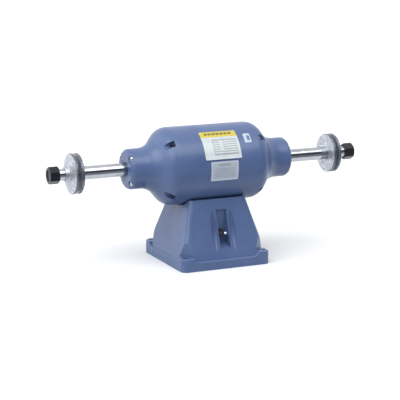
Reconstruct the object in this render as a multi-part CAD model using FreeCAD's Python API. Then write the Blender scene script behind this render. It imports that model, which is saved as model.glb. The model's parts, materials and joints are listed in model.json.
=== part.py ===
"""Double-ended bench grinder: an enclosed motor on a cast pedestal, with a flanged arbor at each end.

Units are millimetres.  The origin is the middle of the pedestal's foot, on the bench.
+X runs along the spindle, -Y is the switch side and +Z is up.
"""
import FreeCAD
import Part
import math
import os

V = FreeCAD.Vector
AXIS_X = V(1, 0, 0)
AXIS_Y = V(0, 1, 0)
AXIS_Z = V(0, 0, 1)
LEFT = -1
RIGHT = 1

# ---------------------------------------------------------------- driving dimensions
SHAFT_HEIGHT = 188.0       # spindle axis above the bench
SEAT_GAP = 0.05            # radial gap of a piece that is pressed or clamped in its seat
RUN_GAP = 0.03             # radial gap of a piece that runs or slides on its seat
BOLT_GAP = 0.3             # radial gap round a bolt in its clearance hole
CLEAR = 0.3                # gap between neighbours that never touch

# spindle
SHAFT_R = 12.7             # one inch ground shaft, through the bearings and out to the flanges
ARBOR_R = 9.525            # three quarter inch arbor
ROTOR_SEAT_R = 15.0
BEARING_SHOULDER_R = 14.3
ARBOR_SHOULDER_X = 261.6   # where the inner flange is seated
ARBOR_END_X = 319.0
ARBOR_CHAMFER = 1.2

# wheel flanges, collars and nuts
FLANGE_R = 38.1
FLANGE_RIM = 5.4           # thickness at the rim
FLANGE_LIP = 8.0           # width of the raised ring that grips the wheel
FLANGE_DISH = 2.0          # depth of the dish inside that ring
FLANGE_HUB_R = 15.0
FLANGE_GAP = 6.0           # open groove between the two rims
FLANGE_CROWN = 4.2         # how far the outer face is domed
HUB_NOSE = 7.5             # hub of the outer flange, beyond its dome
COLLAR_R = 11.1
COLLAR_LENGTH = 11.6
NUT_FLATS = 28.6
NUT_HEIGHT = 19.0
NUT_CHAMFER_R = 15.15

# motor housing
BODY_R = 74.5
SHELL_WALL = 4.0
SHELL_HALF = 76.0          # the end bells meet the shell here
NECK_R = 38.5
NECK_END_X = 169.0
NECK_ROUND = 9.0
SHOULDER_X = 94.0          # corner of the profile where the flare starts
NECK_X = 124.2             # corner of the profile where the flare meets the neck
SHOULDER_ROUND = 28.0
NECK_FLARE_ROUND = 40.0
BELL_WALL = 5.5
SPIGOT_LENGTH = 4.0
SPIGOT_WALL = 2.9

# bearings, one inch bore
BEARING_R = 25.4
BEARING_WIDTH = 12.7
BEARING_IN_X = 149.3       # inboard face
BALL_R = 3.95
BALL_COUNT = 9
INNER_RACE_R = 16.5
OUTER_RACE_R = 21.6
CAGE_IN_R = 17.6
CAGE_OUT_R = 20.5
CAGE_HALF = 4.8
PRELOAD_GAP = 1.5          # room for the wave spring at the left bearing
SEAL_R = 19.0
SEAL_LIP_GAP = 0.2

# inner bearing caps and their long screws
CAP_POCKET_X = 126.0
CAP_MARGIN = 3.7           # cap outside its screw circle
CAP_FLANGE = 3.7
CAP_NOSE_WALL = 3.5
CAP_BORE_R = 16.0
CAP_SCREW_INSET = 5.2      # from the neck's outside to the screws' axes
CAP_SCREW_R = 2.4
CAP_SCREW_HEAD_R = 4.2
CAP_SCREW_HEAD = 3.4
CAP_SCREW_SEAT_X = 163.8
CAP_SCREW_BORE_R = 5.1

# through bolts that clamp the end bells on the shell
THROUGH_INSET = 8.5        # from the shell's outside to the bolts' axes
THROUGH_R = 2.5
THROUGH_SEAT_X = 88.0
THROUGH_HEAD_FLATS = 9.5
THROUGH_HEAD = 4.5
NOTCH_R = 6.5
NOTCH_WALL = 4.0

# stator and rotor
CORE_HALF = 28.0
CORE_BORE_R = 38.0
SLOT_COUNT = 24
SLOT_IN_R = 40.0
SLOT_OUT_R = 55.0
SLOT_WIDTH = 4.6
END_TURN_X = 46.0
END_TURN_INSET = 13.5      # from the shell's outside to the end turns
AIR_GAP = 0.6
ROTOR_BARS = 28
ROTOR_BAR_R = 2.0
ROTOR_BAR_CIRCLE_R = 33.0
END_RING_IN_R = 26.0
END_RING_OUT_R = 36.5
END_RING_X = 36.0
PADDLE_X = 42.0
PADDLE_COUNT = 6

# labels on the shell: X range, angle range above the front and thickness
PLATE_X = (-34.0, 41.0)
PLATE_ANGLE = (14.5, 61.5)
PLATE_THICK = 0.6
PLATE_RIVET_INSET = 3.0
LABEL_X = (-23.6, 33.0)
LABEL_ANGLE = (-17.0, 11.5)
STICKER_X = (54.0, 68.0)
STICKER_ANGLE = (37.0, 53.0)
FOIL_THICK = 0.2

# pedestal
FOOT_X = 183.5
FOOT_Y = 191.0
FOOT_ROUND = 12.0
SKIRT = 5.0                # upright edge at the bench
LUG_HEIGHT = 26.0
LUG_SIDE = 24.0
FOOT_BAND = 18.0           # height of the foot's edge between the lugs
LUG_SWEEP = 12.0           # radius of the drop beside a lug
LUG_RIM_ROUND = 3.0
CORNER_CUT = 24.9          # from the foot's square corner to the upright cut above the lug
TOP_X = 117.6
TOP_FRONT = 54.0
TOP_REAR = 50.0
TOP_DROP = 60.6            # from the spindle axis down to the pedestal's top edge
TOP_ROUND = 8.0
BASE_WALL = 6.0
SADDLE_GAP = 2.5
RIM_WIDTH = 11.5           # width of the foot's rim that stands on the bench
LEDGE_WIDTH = 8.0
BASE_BOLT_HOLE_R = 4.75
BASE_BOLT_INSET_X = 10.25
BASE_BOLT_INSET_Y = 10.5

# switch pocket in the sloping front
POCKET_X = 2.0             # middle of the pocket
POCKET_HALF = 11.0
POCKET_BACK_Y = -57.0
POCKET_TOP_Z = 108.0
POCKET_FLOOR_BACK_Z = 44.0
POCKET_FLOOR_SLOPE = 0.28
POCKET_WALL = 5.0
SCOOP_R = 6.5
SCOOP_LENGTH = 84.0        # between the points that a scoop tapers to
SCOOP_OFFSET = 18.8        # from the middle of the pocket to the middle of each side scoop
SCOOP_SINK = 6.0
SCOOP_Z = 70.0

# toggle switch
SWITCH_Z = 62.0
SWITCH_BUSHING_R = 5.95
SWITCH_BUSHING = 9.0       # how far the bushing stands in front of the pocket wall
SWITCH_NUT_FLATS = 15.0
SWITCH_NUT = 2.6
SWITCH_BODY_X = 28.0
SWITCH_BODY_Y = 24.0
SWITCH_BODY_Z = 20.0
TOGGLE_PIVOT_IN = 2.0      # pivot depth behind the bushing's mouth
TOGGLE_LENGTH = 18.0
TOGGLE_ROOT_R = 1.9
TOGGLE_TIP_R = 2.9
TOGGLE_BALL_R = 3.2
TOGGLE_REST = 13.0         # degrees above level

# motor mount, leads, capacitor, cord entry and bottom cover
MOUNT_X = 51.0
MOUNT_PAD_HALF_X = 7.0
MOUNT_PAD_HALF_Y = 14.0
MOUNT_BOSS = 15.5          # from the shell's lowest line down to the bolts' seats
MOUNT_BOLT_R = 4.0
MOUNT_BOLT_FLATS = 13.0
MOUNT_BOLT_HEAD = 5.3
WASHER_R = 8.0
WASHER_THICK = 1.6
WRENCH_ROOM = 16.0         # straight room under each mounting bolt's seat
MOUNT_BLOCK_HALF_X = 7.5
MOUNT_BLOCK_HALF_Y = 9.0
MOUNT_BLOCK_THICK = 7.0
LEAD_X = -37.0
LEAD_HOLE_R = 6.0
GROMMET_LIP_R = 8.0
GROMMET_BORE_R = 3.6
LEAD_R = 1.3
CAPACITOR_R = 18.0
CAPACITOR_HALF = 34.0
CAPACITOR_Y = 34.0
STRAP_THICK = 1.2
STRAP_HALF = 8.0
STRAP_FOOT = 14.0
CORD_X = 0.0
CORD_Z = 62.0
CORD_BOSS_R = 13.0
CORD_BOSS_Y = 84.0
GLAND_R = 8.0
GLAND_LIP_R = 10.5
GLAND_LIP = 3.0
GLAND_BORE_R = 4.6
COVER_RECESS = 4.0
COVER_THICK = 2.0
COVER_SCREW_R = 1.9
COVER_SCREW_HEAD_R = 3.6
COVER_SCREW_HEAD = 1.5
COVER_SCREW_LENGTH = 11.0

# ---------------------------------------------------------------- values worked out from them
BEARING_OUT_X = BEARING_IN_X + BEARING_WIDTH
BALL_CIRCLE_R = (INNER_RACE_R + OUTER_RACE_R) / 2
BEARING_MID_X = BEARING_IN_X + BEARING_WIDTH / 2
SHELL_IN_R = BODY_R - SHELL_WALL
FLARE_ANGLE = math.atan2(BODY_R - NECK_R, NECK_X - SHOULDER_X)
SADDLE_R = BODY_R + SADDLE_GAP
FLANGE_FACE_X = ARBOR_SHOULDER_X + FLANGE_RIM
FLANGE_MEET_X = FLANGE_FACE_X + FLANGE_GAP / 2
OUTER_FACE_X = FLANGE_FACE_X + FLANGE_GAP
OUTER_RIM_X = OUTER_FACE_X + FLANGE_RIM
HUB_END_X = OUTER_RIM_X + FLANGE_CROWN + HUB_NOSE
NUT_X = HUB_END_X + COLLAR_LENGTH
HALF_X = FOOT_X / 2
HALF_Y = FOOT_Y / 2
TOP_Z = SHAFT_HEIGHT - TOP_DROP
MOUNT_BOSS_Z = SHAFT_HEIGHT - BODY_R - MOUNT_BOSS
THROUGH_CIRCLE_R = BODY_R - THROUGH_INSET
END_TURN_OUT_R = BODY_R - END_TURN_INSET
CAP_SCREW_CIRCLE_R = NECK_R - CAP_SCREW_INSET
CAP_R = CAP_SCREW_CIRCLE_R + CAP_MARGIN
BASE_BOLT_X = FOOT_X - 2 * BASE_BOLT_INSET_X
BASE_BOLT_Y = FOOT_Y - 2 * BASE_BOLT_INSET_Y
CORNER_SUM = HALF_X + HALF_Y - CORNER_CUT * math.sqrt(2)
QUARTERS = (45, 135, 225, 315)


# ---------------------------------------------------------------- helpers
def outline(points):
    """Closed wire through (a, b) or (a, b, corner radius) points, in the XZ plane."""
    edges = []
    first = None
    last = None
    count = len(points)
    for i in range(count):
        here = V(points[i][0], 0, points[i][1])
        radius = points[i][2] if len(points[i]) > 2 else 0
        before = V(points[i - 1][0], 0, points[i - 1][1])
        after = V(points[(i + 1) % count][0], 0, points[(i + 1) % count][1])
        if radius:
            to_before = (before - here).normalize()
            to_after = (after - here).normalize()
            half = to_before.getAngle(to_after) / 2
            run = radius / math.tan(half)
            start = here + to_before * run
            end = here + to_after * run
            bisector = (to_before + to_after).normalize()
            middle = here + bisector * (radius / math.sin(half) - radius)
        else:
            start = here
            end = here
        if last is not None and last.distanceToPoint(start) > 1e-6:
            edges.append(Part.LineSegment(last, start).toShape())
        if radius:
            edges.append(Part.Arc(start, middle, end).toShape())
        if first is None:
            first = start
        last = end
    if last.distanceToPoint(first) > 1e-6:
        edges.append(Part.LineSegment(last, first).toShape())
    return Part.Wire(edges)


def turned(points, side=RIGHT):
    """Solid of revolution about the spindle from (x, radius) points, on one side of the motor."""
    face = Part.Face(outline([(side * p[0],) + tuple(p[1:]) for p in points]))
    solid = face.revolve(V(0, 0, 0), AXIS_X, 360)
    solid.translate(V(0, 0, SHAFT_HEIGHT))
    return tidy(solid)


def tube(x0, x1, r_in, r_out, side=RIGHT):
    """Plain ring or disc on the spindle axis."""
    return turned([(x0, r_in), (x1, r_in), (x1, r_out), (x0, r_out)], side)


def rod(start, direction, length, radius):
    return Part.makeCylinder(radius, length, V(*start), direction)


def box(x0, x1, y0, y1, z0, z1):
    return Part.makeBox(x1 - x0, y1 - y0, z1 - z0, V(x0, y0, z0))


def tidy(shape):
    """Single solid with a positive volume and no leftover seams."""
    shape = shape.removeSplitter()
    solids = shape.Solids
    if len(solids) == 1:
        shape = solids[0]
    if shape.Volume < 0:
        shape.reverse()
    return shape


def on_circle(radius, degrees):
    """(y, z) of a point round the spindle, with 0 degrees at the front and 90 at the top."""
    angle = math.radians(degrees)
    return -radius * math.cos(angle), SHAFT_HEIGHT + radius * math.sin(angle)


def along_x(x0, x1, radius, circle_r, degrees, side=RIGHT):
    """Rod parallel to the spindle at a place on a bolt circle."""
    y, z = on_circle(circle_r, degrees)
    return rod((min(side * x0, side * x1), y, z), AXIS_X, abs(x1 - x0), radius)


def hexagon(flats, height, start, direction, turn=0):
    """Hexagonal prism from a point along X, Y or Z; turn is in degrees about its own axis."""
    corner_r = flats / math.sqrt(3)
    corners = []
    for i in range(7):
        angle = math.radians(60 * i + turn)
        corners.append(V(corner_r * math.cos(angle), corner_r * math.sin(angle), 0))
    prism = Part.Face(Part.makePolygon(corners)).extrude(V(0, 0, height))
    prism.Placement = FreeCAD.Placement(V(*start), FreeCAD.Rotation(AXIS_Z, direction))
    return prism


def rounded_rectangle(x0, x1, y0, y1, radius, z):
    """Closed level wire with round corners."""
    corners = [(x0, y0), (x1, y0), (x1, y1), (x0, y1)]
    wire = outline([(x, y, radius) for x, y in corners])
    wire.rotate(V(0, 0, 0), AXIS_X, -90)
    wire.translate(V(0, 0, z))
    return wire


# ---------------------------------------------------------------- pedestal
def frustum(inset):
    """Tapered body of the pedestal, drawn in by an inset on every side."""
    foot = rounded_rectangle(-HALF_X + inset, HALF_X - inset, -HALF_Y + inset, HALF_Y - inset,
                             FOOT_ROUND - inset / 2, SKIRT)
    top = rounded_rectangle(-TOP_X / 2 + inset, TOP_X / 2 - inset, -TOP_FRONT + inset,
                            TOP_REAR - inset, TOP_ROUND - inset / 2, TOP_Z)
    return Part.makeLoft([foot, top], True, True)


def front_face_y(z):
    """Where the sloping front is at a height."""
    share = (z - SKIRT) / (TOP_Z - SKIRT)
    return -HALF_Y + share * (HALF_Y - TOP_FRONT)


def octagon(half_x, half_y, corner_sum, z0, z1):
    """Upright prism: a rectangle whose corners are cut at 45 degrees where x + y reaches a sum."""
    cut_x = corner_sum - half_y
    cut_y = corner_sum - half_x
    quarter = [(half_x, -cut_y), (half_x, cut_y), (cut_x, half_y), (-cut_x, half_y)]
    points = quarter + [(-x, -y) for x, y in quarter]
    corners = [V(x, y, z0) for x, y in points]
    return Part.Face(Part.makePolygon(corners + corners[:1])).extrude(V(0, 0, z1 - z0))


def pocket_block(half, back_y, top_z, floor_drop):
    """Wedge of the switch pocket, open to the front, with a floor that falls outwards."""
    floor_z = POCKET_FLOOR_BACK_Z - floor_drop
    front_y = -HALF_Y - 10
    reach = back_y - front_y
    corners = [(back_y, top_z), (back_y, floor_z), (front_y, floor_z - POCKET_FLOOR_SLOPE * reach),
               (front_y, top_z)]
    points = [V(POCKET_X - half, y, z) for y, z in corners]
    return Part.Face(Part.makePolygon(points + points[:1])).extrude(V(2 * half, 0, 0))


def scoops(extra=0):
    """Finger scoop on each side of the switch pocket, along the slope, tapered to both ends."""
    slope = V(0, front_face_y(TOP_Z) - front_face_y(SKIRT), TOP_Z - SKIRT).normalize()
    outwards = V(0, -slope.z, slope.y)
    shapes = []
    for x in (POCKET_X - SCOOP_OFFSET, POCKET_X + SCOOP_OFFSET):
        middle = V(x, front_face_y(SCOOP_Z), SCOOP_Z) + outwards * (SCOOP_R - SCOOP_SINK)
        low = middle - slope * (SCOOP_LENGTH / 2 + extra)
        high = middle + slope * (SCOOP_LENGTH / 2 + extra)
        arc = Part.Arc(low, middle + outwards * (SCOOP_R + extra), high).toShape()
        profile = Part.Face(Part.Wire([arc, Part.makeLine(high, low)]))
        shapes.append(Part.makeSolid(profile.revolve(low, slope, 360).Shells[0]))
    return shapes


def saddle(radius):
    """Cylinder along the spindle axis that is longer than the pedestal."""
    return rod((-FOOT_X, 0, SHAFT_HEIGHT), AXIS_X, 2 * FOOT_X, radius)


def mount_pads(radius, z0):
    """Blocks under the shell at both mounting bolts, up to a radius round the spindle."""
    pads = []
    for side in (LEFT, RIGHT):
        x = side * MOUNT_X
        block = box(x - MOUNT_PAD_HALF_X, x + MOUNT_PAD_HALF_X, -MOUNT_PAD_HALF_Y, MOUNT_PAD_HALF_Y,
                    z0, SHAFT_HEIGHT - SADDLE_R + 3 * SADDLE_GAP)
        pads.append(block.cut(saddle(radius)))
    return pads


def base_cavity():
    """Hollow of the pedestal, open only at the bench side."""
    inside = frustum(BASE_WALL)
    inside = inside.fuse(octagon(HALF_X - BASE_WALL * 2, HALF_Y - BASE_WALL * 2, CORNER_SUM, 0, SKIRT + 1))
    half_x = HALF_X - RIM_WIDTH - LEDGE_WIDTH
    half_y = HALF_Y - RIM_WIDTH - LEDGE_WIDTH
    corner_sum = CORNER_SUM - (BASE_WALL + 3) * math.sqrt(2)
    inside = inside.common(octagon(half_x, half_y, corner_sum, 0, TOP_Z))
    inside = inside.cut(saddle(SADDLE_R + BASE_WALL))
    pocket = pocket_block(POCKET_HALF + POCKET_WALL, POCKET_BACK_Y + POCKET_WALL,
                          POCKET_TOP_Z + POCKET_WALL, POCKET_WALL)
    inside = inside.cut([pocket] + scoops(POCKET_WALL))
    for side in (LEFT, RIGHT):
        x = side * MOUNT_X
        boss = box(min(x - side * MOUNT_PAD_HALF_X, side * FOOT_X), max(x - side * MOUNT_PAD_HALF_X,
                   side * FOOT_X), -MOUNT_PAD_HALF_Y, MOUNT_PAD_HALF_Y, MOUNT_BOSS_Z, TOP_Z)
        inside = inside.cut(boss)
    cord_boss = rod((CORD_X, 0, CORD_Z), AXIS_Y, HALF_Y, CORD_BOSS_R)
    cord_boss = cord_boss.common(box(-HALF_X, HALF_X, cord_inner_y(), HALF_Y, 0, TOP_Z))
    return inside.cut(cord_boss)


def cord_inner_y():
    """Inside face of the cord boss."""
    share = (CORD_Z + CORD_BOSS_R - SKIRT) / (TOP_Z - SKIRT)
    return HALF_Y - share * (HALF_Y - TOP_REAR) - BASE_WALL


def base_bolt_places():
    return [(x, y) for x in (-BASE_BOLT_X / 2, BASE_BOLT_X / 2)
            for y in (-BASE_BOLT_Y / 2, BASE_BOLT_Y / 2)]


def cover_screw_places():
    x = HALF_X - RIM_WIDTH - LEDGE_WIDTH / 2
    y = HALF_Y - RIM_WIDTH - LEDGE_WIDTH / 2
    return [(-x, 0), (x, 0), (0, -y), (0, y)]


def foot_plate():
    """Flange of the foot: a lug at each corner, a lower edge between lugs and a rounded rim."""
    foot = Part.Face(rounded_rectangle(-HALF_X, HALF_X, -HALF_Y, HALF_Y, FOOT_ROUND, 0))
    plate = foot.extrude(V(0, 0, LUG_HEIGHT))
    reach = FOOT_X + FOOT_Y
    for half, turn in ((HALF_X - LUG_SIDE, 0), (HALF_Y - LUG_SIDE, 90)):
        side = rounded_rectangle(-half, half, FOOT_BAND, LUG_HEIGHT + 2 * LUG_SWEEP, LUG_SWEEP, 0)
        gap = Part.Face(side).extrude(V(0, 0, 2 * reach))
        gap.translate(V(0, 0, -reach))
        gap.rotate(V(0, 0, 0), AXIS_X, 90)
        gap.rotate(V(0, 0, 0), AXIS_Z, turn)
        plate = plate.cut(gap)
    walls = [face for face in plate.Faces if face.BoundBox.ZMin < SKIRT and face.BoundBox.ZMax > SKIRT]
    rim = [edge for face in walls for edge in face.Edges if edge.BoundBox.ZMin > SKIRT]
    return plate.makeFillet(LUG_RIM_ROUND, rim)


def base_casting():
    body = frustum(0).common(octagon(HALF_X, HALF_Y, CORNER_SUM, LUG_HEIGHT, TOP_Z).fuse(
        box(-HALF_X, HALF_X, -HALF_Y, HALF_Y, 0, LUG_HEIGHT)))
    body = body.fuse(foot_plate())
    cord_boss = rod((CORD_X, 0, CORD_Z), AXIS_Y, CORD_BOSS_Y, CORD_BOSS_R)
    body = body.fuse(cord_boss)
    body = body.cut(saddle(SADDLE_R))
    body = body.fuse(mount_pads(BODY_R, MOUNT_BOSS_Z))
    body = body.cut(base_cavity())
    body = body.cut(pocket_block(POCKET_HALF, POCKET_BACK_Y, POCKET_TOP_Z, 0))
    body = body.cut(scoops())
    cuts = [octagon(HALF_X - RIM_WIDTH, HALF_Y - RIM_WIDTH, CORNER_SUM - BASE_WALL, 0, COVER_RECESS)]
    for x, y in base_bolt_places():
        cuts.append(rod((x, y, 0), AXIS_Z, LUG_HEIGHT, BASE_BOLT_HOLE_R))
    for x, y in cover_screw_places():
        cuts.append(rod((x, y, 0), AXIS_Z, COVER_SCREW_LENGTH + COVER_RECESS, COVER_SCREW_R + SEAT_GAP))
    for x in (-MOUNT_X, MOUNT_X):
        cuts.append(rod((x, 0, 0), AXIS_Z, SHAFT_HEIGHT, MOUNT_BOLT_R + BOLT_GAP))
        cuts.append(rod((x, 0, MOUNT_BOSS_Z - WRENCH_ROOM), AXIS_Z, WRENCH_ROOM, WASHER_R + CLEAR))
    cuts.append(rod((LEAD_X, 0, MOUNT_BOSS_Z), AXIS_Z, SHAFT_HEIGHT, GROMMET_LIP_R + CLEAR))
    cuts.append(rod((POCKET_X, POCKET_BACK_Y, SWITCH_Z), AXIS_Y, 2 * POCKET_WALL, SWITCH_BUSHING_R + CLEAR))
    cuts.append(rod((CORD_X, 0, CORD_Z), AXIS_Y, HALF_Y, GLAND_R + SEAT_GAP))
    body = body.cut(cuts)
    return tidy(body)


def base_bottom_cover():
    plate = octagon(HALF_X - RIM_WIDTH - CLEAR, HALF_Y - RIM_WIDTH - CLEAR,
                    CORNER_SUM - BASE_WALL - 2 * CLEAR, COVER_RECESS - COVER_THICK, COVER_RECESS)
    holes = [rod((x, y, 0), AXIS_Z, COVER_RECESS, COVER_SCREW_R + BOLT_GAP) for x, y in cover_screw_places()]
    return tidy(plate.cut(holes))


def pan_head_screw(start, direction, length, radius, head_r, head):
    """Screw whose head's underside is at the start; the shank runs along the direction."""
    back = V(*start) - direction * head
    knob = Part.makeCylinder(head_r, head, back, direction)
    rim = [edge for edge in knob.Edges if edge.Closed and
           abs((edge.CenterOfMass - back).Length) < 1e-6]
    knob = knob.makeFillet(head * 0.4, rim)
    return tidy(knob.fuse(Part.makeCylinder(radius, length, V(*start), direction)))


def bottom_cover_screws():
    return [pan_head_screw((x, y, COVER_RECESS - COVER_THICK), AXIS_Z, COVER_SCREW_LENGTH, COVER_SCREW_R,
                           COVER_SCREW_HEAD_R, COVER_SCREW_HEAD) for x, y in cover_screw_places()]


def motor_mount_bolts():
    bolts = []
    underside = MOUNT_BOSS_Z - WASHER_THICK
    tip = SHAFT_HEIGHT - SHELL_IN_R + MOUNT_BLOCK_THICK
    for x in (-MOUNT_X, MOUNT_X):
        head = hexagon(MOUNT_BOLT_FLATS, MOUNT_BOLT_HEAD, (x, 0, underside - MOUNT_BOLT_HEAD), AXIS_Z)
        shank = rod((x, 0, underside), AXIS_Z, tip - underside, MOUNT_BOLT_R)
        bolts.append(tidy(head.fuse(shank)))
    return bolts


def motor_mount_washers():
    rings = []
    for x in (-MOUNT_X, MOUNT_X):
        disc = rod((x, 0, MOUNT_BOSS_Z - WASHER_THICK), AXIS_Z, WASHER_THICK, WASHER_R)
        rings.append(disc.cut(rod((x, 0, 0), AXIS_Z, SHAFT_HEIGHT, MOUNT_BOLT_R + BOLT_GAP)))
    return rings


def motor_mount_blocks():
    """Threaded blocks inside the shell that take the mounting bolts."""
    blocks = []
    top = SHAFT_HEIGHT - SHELL_IN_R + MOUNT_BLOCK_THICK
    for x in (-MOUNT_X, MOUNT_X):
        block = box(x - MOUNT_BLOCK_HALF_X, x + MOUNT_BLOCK_HALF_X, -MOUNT_BLOCK_HALF_Y,
                    MOUNT_BLOCK_HALF_Y, SHAFT_HEIGHT - BODY_R, top)
        block = block.common(rod((-FOOT_X, 0, SHAFT_HEIGHT), AXIS_X, 2 * FOOT_X, SHELL_IN_R - SEAT_GAP))
        blocks.append(tidy(block.cut(rod((x, 0, 0), AXIS_Z, SHAFT_HEIGHT, MOUNT_BOLT_R + SEAT_GAP))))
    return blocks


# ---------------------------------------------------------------- what the pedestal holds
def toggle_switch_body():
    back = POCKET_BACK_Y + POCKET_WALL
    body = box(POCKET_X - SWITCH_BODY_X / 2, POCKET_X + SWITCH_BODY_X / 2, back, back + SWITCH_BODY_Y,
               SWITCH_Z - SWITCH_BODY_Z / 2, SWITCH_Z + SWITCH_BODY_Z / 2)
    body = body.makeFillet(1.2, [e for e in body.Edges if abs(e.CenterOfMass.y - back) > 1])
    mouth = POCKET_BACK_Y - SWITCH_BUSHING
    bushing = rod((POCKET_X, mouth, SWITCH_Z), AXIS_Y, SWITCH_BUSHING + POCKET_WALL, SWITCH_BUSHING_R)
    body = body.fuse(bushing)
    pivot = V(POCKET_X, mouth + TOGGLE_PIVOT_IN, SWITCH_Z)
    body = body.cut(Part.makeSphere(TOGGLE_BALL_R + RUN_GAP, pivot))
    flare = Part.makeCone(TOGGLE_ROOT_R + 0.5, TOGGLE_BALL_R + 1.6, TOGGLE_PIVOT_IN + 0.8,
                          pivot + V(0, 0.8, 0), V(0, -1, 0))
    body = body.cut(flare)
    terminals = []
    for offset in (-8, 0, 8):
        blade = box(POCKET_X + offset - 2.4, POCKET_X + offset + 2.4, back + SWITCH_BODY_Y,
                    back + SWITCH_BODY_Y + 7, SWITCH_Z - 0.4, SWITCH_Z + 0.4)
        terminals.append(blade)
    return tidy(body.fuse(terminals))


def toggle_switch_nut():
    start = (POCKET_X, POCKET_BACK_Y - SWITCH_NUT, SWITCH_Z)
    nut = hexagon(SWITCH_NUT_FLATS, SWITCH_NUT, start, AXIS_Y, 30)
    return tidy(nut.cut(rod(start, AXIS_Y, SWITCH_NUT, SWITCH_BUSHING_R + SEAT_GAP)))


def toggle_lever():
    pivot = V(POCKET_X, POCKET_BACK_Y - SWITCH_BUSHING + TOGGLE_PIVOT_IN, SWITCH_Z)
    out = V(0, -1, 0)
    ball = Part.makeSphere(TOGGLE_BALL_R, pivot)
    stem = Part.makeCone(TOGGLE_ROOT_R, TOGGLE_TIP_R, TOGGLE_LENGTH, pivot, out)
    tip = Part.makeSphere(TOGGLE_TIP_R, pivot + out * TOGGLE_LENGTH)
    lever = ball.fuse([stem, tip])
    lever.rotate(pivot, AXIS_X, -TOGGLE_REST)
    return tidy(lever)


def capacitor_centre_z():
    return COVER_RECESS + STRAP_THICK + SEAT_GAP + CAPACITOR_R


def run_capacitor():
    z = capacitor_centre_z()
    can = rod((-CAPACITOR_HALF, CAPACITOR_Y, z), AXIS_X, 2 * CAPACITOR_HALF, CAPACITOR_R)
    can = can.makeFillet(2.5, can.Edges[0:1] + can.Edges[2:3])
    parts = []
    for y in (CAPACITOR_Y - 7, CAPACITOR_Y + 7):
        parts.append(box(-CAPACITOR_HALF - 6, -CAPACITOR_HALF, y - 3, y + 3, z - 0.4, z + 0.4))
    return tidy(can.fuse(parts))


def capacitor_strap():
    """Band round the can with a foot on the bottom cover at each side."""
    z = capacitor_centre_z()
    inner = CAPACITOR_R + SEAT_GAP
    band = rod((-STRAP_HALF, CAPACITOR_Y, z), AXIS_X, 2 * STRAP_HALF, inner + STRAP_THICK)
    reach = inner + STRAP_THICK + STRAP_FOOT
    foot = box(-STRAP_HALF, STRAP_HALF, CAPACITOR_Y - reach, CAPACITOR_Y + reach, COVER_RECESS,
               COVER_RECESS + STRAP_THICK)
    strap = band.fuse(foot)
    return tidy(strap.cut(rod((-STRAP_HALF, CAPACITOR_Y, z), AXIS_X, 2 * STRAP_HALF, inner)))


def cord_gland():
    """Bushing in the cord boss, with a lip outside."""
    inner_y = cord_inner_y()
    body = rod((CORD_X, inner_y, CORD_Z), AXIS_Y, CORD_BOSS_Y - inner_y, GLAND_R)
    lip = rod((CORD_X, CORD_BOSS_Y, CORD_Z), AXIS_Y, GLAND_LIP, GLAND_LIP_R)
    lip = lip.makeFillet(1.0, [e for e in lip.Edges if e.Closed and e.CenterOfMass.y > CORD_BOSS_Y + 1])
    body = body.fuse(lip)
    return tidy(body.cut(rod((CORD_X, 0, CORD_Z), AXIS_Y, 2 * HALF_Y, GLAND_BORE_R)))


def lead_grommet():
    """Rubber ring in the shell's lead hole, with a lip under the shell."""
    underside = SHAFT_HEIGHT - BODY_R - CLEAR / 3
    lip = rod((LEAD_X, 0, underside - 2), AXIS_Z, 2, GROMMET_LIP_R)
    sleeve = rod((LEAD_X, 0, underside), AXIS_Z, SHELL_WALL + 2, LEAD_HOLE_R - SEAT_GAP)
    return tidy(lip.fuse(sleeve).cut(rod((LEAD_X, 0, 0), AXIS_Z, SHAFT_HEIGHT, GROMMET_BORE_R)))


def wire(points, radius):
    """Round wire along straight runs joined by tangent arcs."""
    nodes = [V(*p) for p in points]
    edges = []
    last = nodes[0]
    for before, here, after in zip(nodes, nodes[1:], nodes[2:]):
        to_before = (before - here).normalize()
        to_after = (after - here).normalize()
        half = to_before.getAngle(to_after) / 2
        run = 0.4 * min((before - here).Length, (after - here).Length)
        bend = run * math.tan(half)
        start = here + to_before * run
        end = here + to_after * run
        middle = here + (to_before + to_after).normalize() * (bend / math.sin(half) - bend)
        edges.append(Part.LineSegment(last, start).toShape())
        edges.append(Part.Arc(start, middle, end).toShape())
        last = end
    edges.append(Part.LineSegment(last, nodes[-1]).toShape())
    path = Part.Wire(edges)
    ring = Part.Wire(Part.Circle(nodes[0], nodes[1] - nodes[0], radius).toShape())
    return path.makePipeShell([ring], True, False)


def internal_leads():
    """One lead from the winding to the switch and one to the capacitor."""
    top = SHAFT_HEIGHT - END_TURN_OUT_R - SEAT_GAP
    side = LEAD_R + CLEAR
    switch_y = POCKET_BACK_Y + POCKET_WALL + SWITCH_BODY_Y + 7
    to_switch = [(LEAD_X, -side, top), (LEAD_X, -side, SWITCH_Z + 20), (LEAD_X / 2, switch_y + 14, SWITCH_Z + 6),
                 (POCKET_X - 8, switch_y + 12, SWITCH_Z), (POCKET_X - 8, switch_y + SEAT_GAP, SWITCH_Z)]
    z = capacitor_centre_z()
    end_x = -CAPACITOR_HALF - 6 - SEAT_GAP
    to_capacitor = [(LEAD_X, side, top), (LEAD_X, side, z + 40), (end_x - 12, CAPACITOR_Y - 20, z + 16),
                    (end_x - 12, CAPACITOR_Y - 7, z), (end_x, CAPACITOR_Y - 7, z)]
    return [wire(to_switch, LEAD_R), wire(to_capacitor, LEAD_R)]


# ---------------------------------------------------------------- motor housing
def motor_shell():
    shell = tube(-SHELL_HALF, SHELL_HALF, SHELL_IN_R, BODY_R)
    cuts = [rod((x, 0, 0), AXIS_Z, SHAFT_HEIGHT, MOUNT_BOLT_R + BOLT_GAP) for x in (-MOUNT_X, MOUNT_X)]
    cuts.append(rod((LEAD_X, 0, 0), AXIS_Z, SHAFT_HEIGHT, LEAD_HOLE_R))
    return tidy(shell.cut(cuts))


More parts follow.
